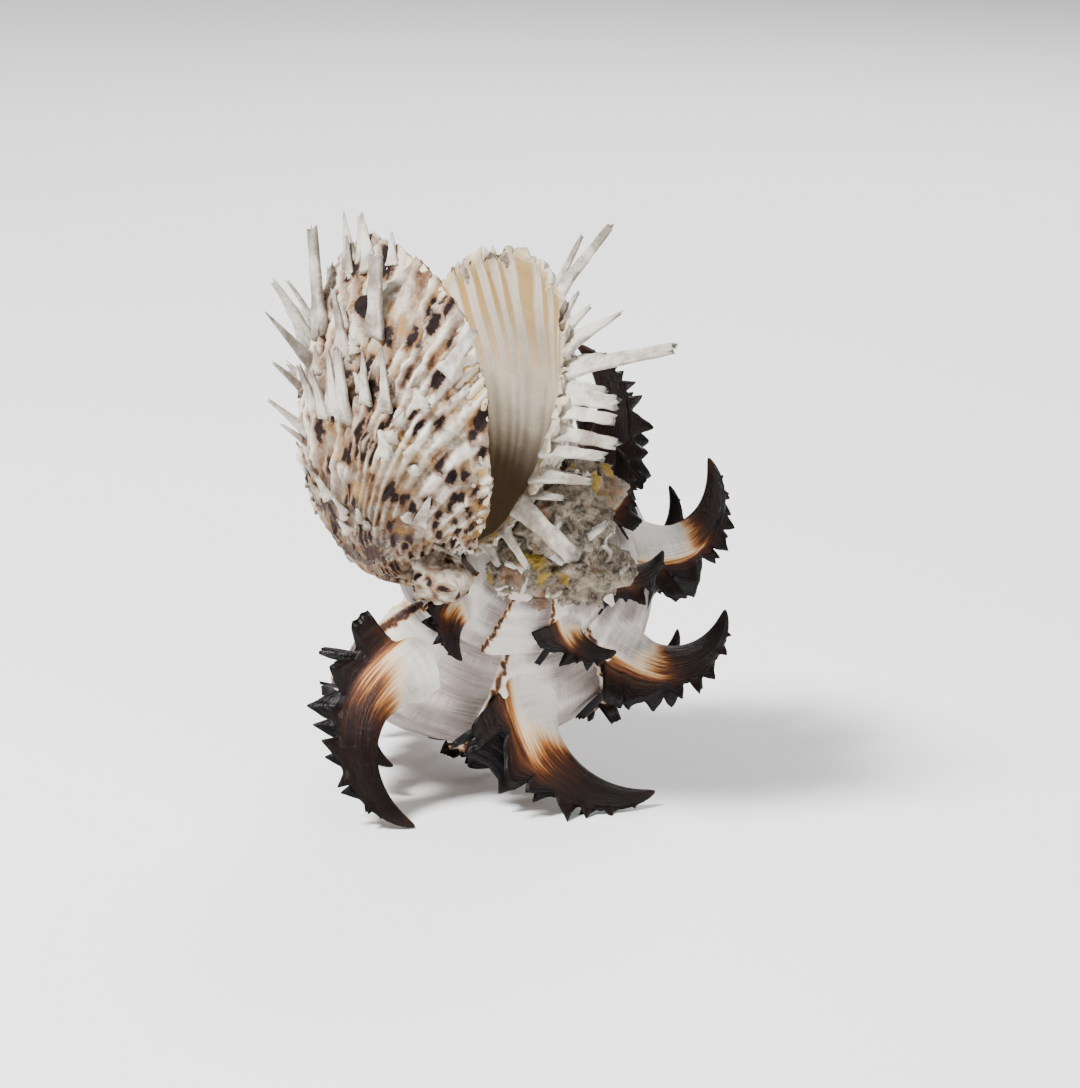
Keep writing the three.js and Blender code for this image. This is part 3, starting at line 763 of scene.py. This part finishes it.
def oyster_finish(name, spots):
    """Cream lime: outside with tan stains and dark spots between the ribs, painted highlight on the rib
    crests and painted shade between them; inside with tan flutes and painted shade deep in the bowl.
    """
    f = Finish(name, IOR=1.5, Specular_IOR_Level=0.16)
    inside, crest, place, reach, thorn, worn = (
        f.field(n) for n in ("inside", "crest", "place", "reach", "thorn", "worn"))
    mottle = f.noise(f.place(), 210, 6, 0.7)
    fine = f.noise(f.place(), 900, 4, 0.7)
    patch = f.noise(f.place(), 75, 4, 0.6)
    stain = f.noise(f.place(), 130, 5, 0.65, 0.6)
    skin = 1 - f.step(thorn, 0.05, 0.4)
    # Painted highlight on the rib crests and painted shade between the ribs, broken up by mottle and
    # patches of the shell's own tone.
    rib_light_and_mottle = f.step(crest * 0.5 + mottle + (patch - 0.5) * 0.5, 0.40, 0.94)
    cream = f.mix((0.12, 0.072, 0.042), (0.60, 0.53, 0.43), rib_light_and_mottle)
    # Whiter patches of the shell's own tone, with painted highlight added where the rib crests stand high.
    bleached_and_crest_highlight = f.mix(cream, (0.72, 0.68, 0.61), f.step(patch * 0.8 + crest * 0.45, 0.62, 0.9) * 0.8)
    rust = f.step(stain + (patch - 0.5) * 0.5, 0.47, 0.66) * spots * (1 - crest * 0.6)
    outer = f.mix(bleached_and_crest_highlight, (0.29, 0.15, 0.035), rust * skin * 0.85)
    wander = f.vector(place * 0.29 + (mottle - 0.5) * 1.1, reach * 13 + (stain - 0.5) * 1.8)
    cell = f.cells(wander, 1.0)
    keep = f.noise(f.vector(place * 0.12, reach * 3.5, 3.0), 1.5, 1)
    kept = f.step(keep - crest * 0.1, 0.28, 0.38) * skin * spots
    halo = (1 - f.step(cell + (mottle - 0.5) * 0.7, 0.34, 0.70)) * kept
    spot = (1 - f.step(cell + (mottle - 0.5) * 0.7 + crest * 0.12, 0.31, 0.48)) * kept
    outer = f.mix(outer, (0.13, 0.045, 0.010), halo * 0.75)
    outer = f.mix(outer, (0.009, 0.0035, 0.003), spot)
    umbo = (1 - f.step(reach + (stain - 0.5) * 0.2, 0.42, 0.58)) * spots
    outer = f.mix(outer, (0.03, 0.018, 0.022), umbo * f.step(mottle + (stain - 0.5), 0.48, 0.58) * 0.85)
    chalk = f.mix((0.19, 0.158, 0.125), (0.58, 0.54, 0.47), f.step(patch + mottle - 0.5, 0.32, 0.66))
    outer = f.mix(outer, chalk, (1 - skin) * 0.9)
    outer = f.mix(outer, (0.16, 0.145, 0.13), f.step(thorn + (mottle - 0.5) * 0.7, 0.78, 1.1) * 0.65)
    near_rim = f.step(reach + (mottle - 0.5) * 0.12, 0.58, 0.98)
    stripe = f.step(crest + (patch - 0.5) * 1.2, 0.35, 0.8) * near_rim
    # Painted shade: the inside is darker deeper in the bowl, where shade falls, and pale towards the rim.
    lit_toward_rim = f.step(reach + (patch - 0.5) * 0.6 + (crest - 0.5) * 0.1, 0.42, 0.98)
    inner = f.mix((0.16, 0.125, 0.088), (0.64, 0.57, 0.46), lit_toward_rim)
    inner = f.mix(inner, (0.42, 0.24, 0.045), stripe * 0.9)
    inner = f.mix(inner, (0.60, 0.48, 0.28), f.step(reach, 0.965, 1.0) * 0.7)
    colour = f.mix(outer, inner, inside)
    rough = 0.68 - inside * 0.25 + (mottle - 0.5) * 0.25 + worn * 0.02
    height = mottle * 0.8 * (1 - inside * 0.8) + fine * 0.3 * (1 - inside * 0.5)
    return f.finish(Base_Color=colour, Roughness=rough, Normal=f.raised(height, 0.0009))


CREAM = oyster_finish("cream_and_tan", 0.25)
SPINE = "place turn length off sideways half square bend roll gutter"
CEMENTED_SPINES = table(SPINE, [
    (24, 2, 16, 40, -20, 1.1, 0.6), (21, 2, 10, 40, 0, 0.9, 0.4), (36, 2, 4, 40, 0, 0.9),
    (44, 2, 5, 50, 0, 1.1), (52, 2, 10, 60, 6, 1.8, 0.15), (60, 3, 6, 66, 0, 1.5, 0.3),
    (64, 2, 18.5, 70, 2, 1.5, 0.75), (71, 2, 7, 72, -34, 1.2, 0.5),
    (74, 2, 9.5, 72, -36, 1.5, 0.75), (80, 2, 10, 70, -24, 1.1, 0.8),
    (86, 3, 11, 74, -8, 1.3, 0.75), (91, 2, 10, 68, 4, 1.15, 0.7), (95, 5, 8, 72, 0, 1.0, 0.6),
    (99, 2, 9, 66, 14, 1.3, 0.5), (105, 4, 6, 58, 10, 1.0, 0.4),
    (114, 1, 12, 64, -46, 1.55, 1.0, 0, 0, 0.2), (128, 2, 9, 44, -34, 0.75, 0.6),
    (142, 2, 5, 40, -20, 0.8, 0.5),
])

bowl = Grids("inside", "crest", "place", "reach", "thorn", "worn")
bowl.add(*valve(CEMENTED, seed=5, flutes=28, relief=0.7))
for thorn in CEMENTED_SPINES:
    bowl.add(*spine(CEMENTED, **thorn))
cemented_piece = bowl.piece("cemented_valve_shell", CREAM, "cemented_valve")
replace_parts(cemented_piece, "cemented_valve")

# ---------------- the oyster's free valve
# The left valve, standing open on the hinge: a ribbed cup, spotted dark brown, with guttered white
# spines on its ribs, long on the far side and worn down to scales on the near side.

FREE = dict(side=1, height=52, width=55, flare=0.06, coil=1.1, umbo=130, floor=70, twist=28)
SPOTTED = oyster_finish("spotted_cream", 1.0)
FREE_SPINES = table(SPINE, [
    (-118, 18, 7, 42, 0, 2.0, 0.15, 14, 60), (-108, 22, 6, 42, 0, 1.7, 0.15, 14, 60),
    (-100, 14, 9, 42, 0, 2.3, 0.1, 14, 55), (-90, 24, 6, 44, 0, 1.8, 0.2, 14, 55),
    (-84, 18, 9, 42, 0, 2.4, 0.12, 14, 55), (-74, 22, 6, 42, 0, 1.8, 0.2, 14, 50),
    (-66, 12, 9, 42, 0, 2.4, 0.15, 14, 45), (-28, 22, 13, 50, 45, 2.4, 0.1, 0, 25),
    (-34, 27, 7, 50, 40, 0.8, 0.1), (-40, 18, 12, 35, 12, 1.9, 0.3, 20, 30),
    (-46, 14, 9, 35, 12, 1.2, 0.35, 20), (-44, 26, 6.5, 50, 40, 1.1, 0.2),
    (-28, 36, 7, 50, 6, 1.6, 0.3), (-48, 38, 4, 50, 0, 0.9, 0.3), (-24, 16, 17, 20, -12, 1.7, 0.78),
    (-24, 4, 9.5, 20, -36, 1.3, 0.1), (-15, 3, 7, 20, -36, 1.3, 0.2),
    (-8, 4, 9, 20, -39, 1.3, 0.15), (-18, 6, 6.5, 20, -30, 0.7, 0.3),
    (12, 12, 12, 25, -16, 1.6, 0.9), (2, 18, 10.5, 30, -14, 1.3, 0.3),
    (8, 28, 10, 20, -9, 1.2, 0.3), (16, 28, 11, 18, -12, 1.4, 0.5), (0, 30, 7, 24, -12, 1.1, 0.4),
    (-8, 30, 7, 28, -10, 1.2, 0.4), (26, 22, 8, 22, -16, 0.9, 0.2), (40, 20, 10, 20, -24, 0.8, 0.2),
    (0, 2, 4, 32, -20, 0.9, 0.3), (56, 6, 9, 24, -2, 1.15, 0.7), (54, 14, 4.5, 42, 60, 1.3, 0.3),
    (50, 27, 4, 44, 70, 1.6, 0.6), (92, 34, 8, 12, -9, 0.9, 0.2),
])
SCALES = 130
FREE_RIBS = 9  # seed of the free valve's ribs, which its scales stand on


def rib_scales(shape, seed):
    """Small upright scales on the ribs, thick on the far side and sparse on the worn near side."""
    rng = np.random.default_rng(seed)
    places = rib_places(FREE_RIBS)[0]
    for _ in range(SCALES):
        rib, turn = rng.choice(places) + rng.uniform(-1, 1), rng.uniform(1, 62)
        place = rib + rib_twist(shape, rib + rib_twist(shape, rib, turn), turn)
        worn = ease(place, 15, 60)
        if rng.uniform() > 0.25 + 0.75 * (1 - worn):
            continue
        length = rng.uniform(1.2, 4.6) * (1 - 0.5 * worn) * (1 - turn / 130)
        yield spine(shape, place, turn, length, rng.uniform(12, 36), rng.uniform(-34, -12) * (1 - worn),
                    rng.uniform(0.5, 1.05), rng.uniform(0.1, 0.5), rows=8)


def outward_of_line(grid):
    """Unit vectors from the middle line of a bar's rings out through its points."""
    return unit(grid - grid.mean(1, keepdims=True))


def ear(x_from=-9.0, x_to=18.0, distance=3.4, turn=120, wide=5.0, thick=4.2):
    """The lumpy ear below the hinge line: a rounded bar along it."""
    t = np.linspace(-1, 1, 60)[:, None]
    round_ = np.linspace(0, 2 * np.pi, 64, endpoint=False)
    full = np.clip(1 - np.abs(t) ** 2.6, 0, 1) ** 0.5 + 0.01
    x = (x_from + x_to) / 2 + (x_to - x_from) / 2 * t + 0 * round_
    grid = in_oyster(x, distance + wide * full * np.cos(round_), turn + 0 * x)
    side = np.cross(HINGE_ALONG, unit(in_oyster(np.zeros(1), np.ones(1), turn)[0] - HINGE))
    grid = grid + (thick * full * np.sin(round_))[..., None] * side
    push = 0.7 * crumple(grid, 5, 61) + 0.4 * crumple(grid, 1.9, 62) + 0.2 * crumple(grid, 0.9, 63)
    grid = grid + outward_of_line(grid) * (push * full)[..., None]
    crest = np.clip(0.4 + 0.3 * crumple(grid, 2.2, 64), 0, 1)
    return grid, dict(crest=crest, place=x * 1.6, reach=0.6 + round_ * 0.12)


cup = Grids("inside", "crest", "place", "reach", "thorn", "worn")
cup.add(*valve(FREE, seed=FREE_RIBS, flutes=44, relief=1.0))
cup.add(*ear())
for thorn in FREE_SPINES:
    cup.add(*spine(FREE, face=-1, **thorn))
for grid, fields in rib_scales(FREE, seed=21):
    cup.add(grid, {**fields, "thorn": fields["thorn"] * 0.4})
free_piece = cup.piece("free_valve_shell", SPOTTED, "free_valve")
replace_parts(free_piece, "free_valve")

# ---------------- the ligament of the hinge
# A short wedge of amber-brown horny stuff between the two valves at the hinge line.

LIGAMENT = dict(middle=8, length=8, near=4.6, half=2)


def ligament():
    """A wedge between the valves: rings along the hinge line, each an oval between the two walls."""
    t = np.linspace(-1, 1, 30)[:, None]
    round_ = np.linspace(0, 2 * np.pi, 24, endpoint=False)
    full = np.sqrt(np.clip(1 - t**4, 0, 1)) + 0.02
    x = LIGAMENT["middle"] + LIGAMENT["length"] / 2 * t + 0 * round_
    distance = LIGAMENT["near"] + LIGAMENT["half"] * full * np.cos(round_) + 0.15 * np.sin(9 * t)
    turn = GAPE / 2 + (GAPE / 2 - 2) * full * np.sin(round_)
    return in_oyster(x, distance, turn)


amber = Finish("amber_ligament", Roughness=0.35, Subsurface_Weight=0.2, Subsurface_Scale=0.002)
amber_noise = amber.noise(amber.place(), 500, 3)
amber.finish(Base_Color=amber.mix((0.20, 0.075, 0.015), (0.52, 0.27, 0.06), amber_noise))
strip = Grids("plain")
strip.add(ligament())
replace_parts(strip.piece("ligament", amber.material, "hinge_ligament"), "hinge_ligament")

# ---------------- the crust over the spire's tip
# Rubble that settled between the two shells: lime mud, worm tubes, flakes of shell and patches of
# yellow sponge, all grown together.

CRUST_LUMPS = [
    ((1, 1, -4), (9, 8, 6)), ((6, -6, -8), (8, 6, 6)), ((-3, -7, -9), (7, 5, 5)), ((-3, 8, -9), (8, 7, 6)),
    ((7, 6, -9), (6, 7, 6)),
]
TUBES = 40
FLAKES = 90


def lump(centre, half, seed):
    """A ball scaled to its half sizes and pushed in and out by coarse and fine unevenness."""
    polar = np.linspace(0.02, np.pi - 0.02, 60)[:, None]
    round_ = np.linspace(0, 2 * np.pi, 90, endpoint=False)
    x, y = np.sin(polar) * np.cos(round_), np.sin(polar) * np.sin(round_)
    ball = np.stack(np.broadcast_arrays(x, y, np.cos(polar)), -1)
    at = ball * half + centre
    push = (0.10 * crumple(at, 6, seed) + 0.07 * crumple(at, 2.6, seed + 1)
            + 0.045 * crumple(at, 1.1, seed + 2))
    return centre + ball * half * (0.95 + push)[..., None]


def worm_tube(foot, heading, length, radius, rng):
    """A thin wandering tube with an open, dimpled end."""
    t = np.linspace(0, 1, 20)[:, None]
    side = unit(np.cross(heading, rng.normal(size=3)))
    other = np.cross(heading, side)
    sway = 0.25 * np.sin(t * rng.uniform(3, 7) + rng.uniform(0, 6))
    path = foot + length * (heading * t + side * sway + other * 0.2 * np.sin(t * rng.uniform(3, 7)))
    round_ = np.linspace(0, 2 * np.pi, 9, endpoint=False)
    wide = radius * (1 + 0.12 * np.sin(t * 40))
    wide[-1] = radius * 0.4
    path[-1] = path[-3]
    ring = np.cos(round_)[:, None] * side + np.sin(round_)[:, None] * other
    return path[:, None] + wide[..., None] * ring


def crust_finish():
    """Grey-brown rubble with white and dark grains and yellow sponge."""
    f = Finish("lime_rubble", Specular_IOR_Level=0.25)
    bright = f.field("bright")
    grit = f.noise(f.place(), 420, 6, 0.75)
    clod = f.noise(f.place(), 120, 4, 0.6)
    sponge = f.noise(f.place(), 110, 2, 0.5)
    colour = f.mix((0.022, 0.013, 0.008), (0.46, 0.38, 0.29), f.step(grit + clod * 0.5, 0.54, 0.96))
    colour = f.mix(colour, (0.20, 0.085, 0.03), f.step(clod + (grit - 0.5) * 0.6, 0.56, 0.64) * 0.7)
    colour = f.mix(colour, (0.33, 0.22, 0.035), f.step(sponge, 0.57, 0.64))
    colour = f.mix(colour, (0.80, 0.76, 0.69), f.step(bright + (grit - 0.5) * 0.5, 0.35, 0.8))
    rough = 0.8 + (grit - 0.5) * 0.2
    return f.finish(Base_Color=colour, Roughness=rough, Normal=f.raised(grit + clod, 0.0012))


rubble = Grids("bright")
rng = np.random.default_rng(77)
for k, (centre, half) in enumerate(CRUST_LUMPS):
    rubble.add(press_behind(CEMENTED, lump(np.array(centre), np.array(half), seed=30 + 4 * k)))
for k in range(TUBES + FLAKES):
    centre, half = (np.array(v, float) for v in CRUST_LUMPS[rng.integers(len(CRUST_LUMPS))])
    heading = unit(rng.normal(size=3))
    foot = centre + heading * half * 0.95
    if k < TUBES:
        lean = unit(heading + rng.normal(size=3) * 0.8)
        tube = worm_tube(foot - lean * 1.2, lean, rng.uniform(2.0, 4.5), rng.uniform(0.3, 0.65), rng)
        rubble.add(press_behind(CEMENTED, tube), dict(bright=rng.uniform(0.2, 0.9)))
    else:
        lean = unit(heading + rng.normal(size=3))
        across = unit(np.cross(lean, rng.normal(size=3)))
        length, half, square = rng.uniform(1.5, 3.5), rng.uniform(0.5, 1.4), rng.uniform(0.2, 1)
        flake = blade(foot - lean, lean, across, length, half, square, rows=6, columns=8)
        rubble.add(press_behind(CEMENTED, flake), dict(bright=rng.uniform(0, 1)))
crust_piece = rubble.piece("crust", crust_finish(), "marine_crust")
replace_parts(crust_piece, "marine_crust")

# ---------------- the floor, the light and the camera
# A pale floor and backdrop with wide soft lamps, and the camera above the tip of the spire.

floor_mesh = bpy.data.meshes.new("floor")
floor_mesh.from_pydata([(-6, -6, 0), (6, -6, 0), (6, 6, 0), (-6, 6, 0)], [], [(0, 1, 2, 3)])
floor = bpy.data.objects.new("floor", floor_mesh)
bpy.context.collection.objects.link(floor)
floor_mesh.materials.append(Finish(
    "pale_floor", Roughness=0.9, Base_Color=(0.93, 0.93, 0.93, 1)).material)


def soft_lamp(name, place, size, power):
    """A square area lamp that faces the middle of the shell."""
    lamp = bpy.data.lights.new(name, "AREA")
    lamp.shape, lamp.size, lamp.energy = "SQUARE", size, power
    holder = bpy.data.objects.new(name, lamp)
    holder.location = place
    holder.rotation_euler = (Vector((0, 0, 0.05)) - Vector(place)).to_track_quat("-Z", "Y").to_euler()
    bpy.context.collection.objects.link(holder)


soft_lamp("key", (-0.5, -0.4, 0.85), 0.22, 31)
soft_lamp("fill", (0.7, -0.6, 0.3), 0.6, 3)
soft_lamp("back", (0.2, 0.8, 0.7), 0.6, 9)
world = bpy.data.worlds.new("pale_room")
world.use_nodes = True
world.node_tree.nodes["Background"].inputs["Color"].default_value = (1, 1, 1, 1)
world.node_tree.nodes["Background"].inputs["Strength"].default_value = 0.42
bpy.context.scene.world = world

AIM = Vector((0.00636, -0.00457, 0.04204))
VIEW_DISTANCE = 0.7
VIEW_RISE, VIEW_TURN, VIEW_ROLL = 14.1, -0.31, 1.25  # degrees
MM_ACROSS = 187.58621  # what the view spans at AIM
camera = bpy.data.cameras.new("camera")
camera.sensor_width = 36
camera.lens = 36 * VIEW_DISTANCE * 1000 / MM_ACROSS
camera.clip_start, camera.clip_end = 0.05, 20
view_from = bpy.data.objects.new("camera", camera)
rise, turn = np.radians(VIEW_RISE), np.radians(VIEW_TURN)
toward = Vector((np.sin(turn) * np.cos(rise), -np.cos(turn) * np.cos(rise), np.sin(rise)))
view_from.location = AIM + toward * VIEW_DISTANCE
facing = (-toward).to_track_quat("-Z", "Y").to_matrix()
view_from.rotation_euler = (facing @ Matrix.Rotation(np.radians(VIEW_ROLL), 3, "Z")).to_euler()
bpy.context.collection.objects.link(view_from)
bpy.context.scene.camera = view_from
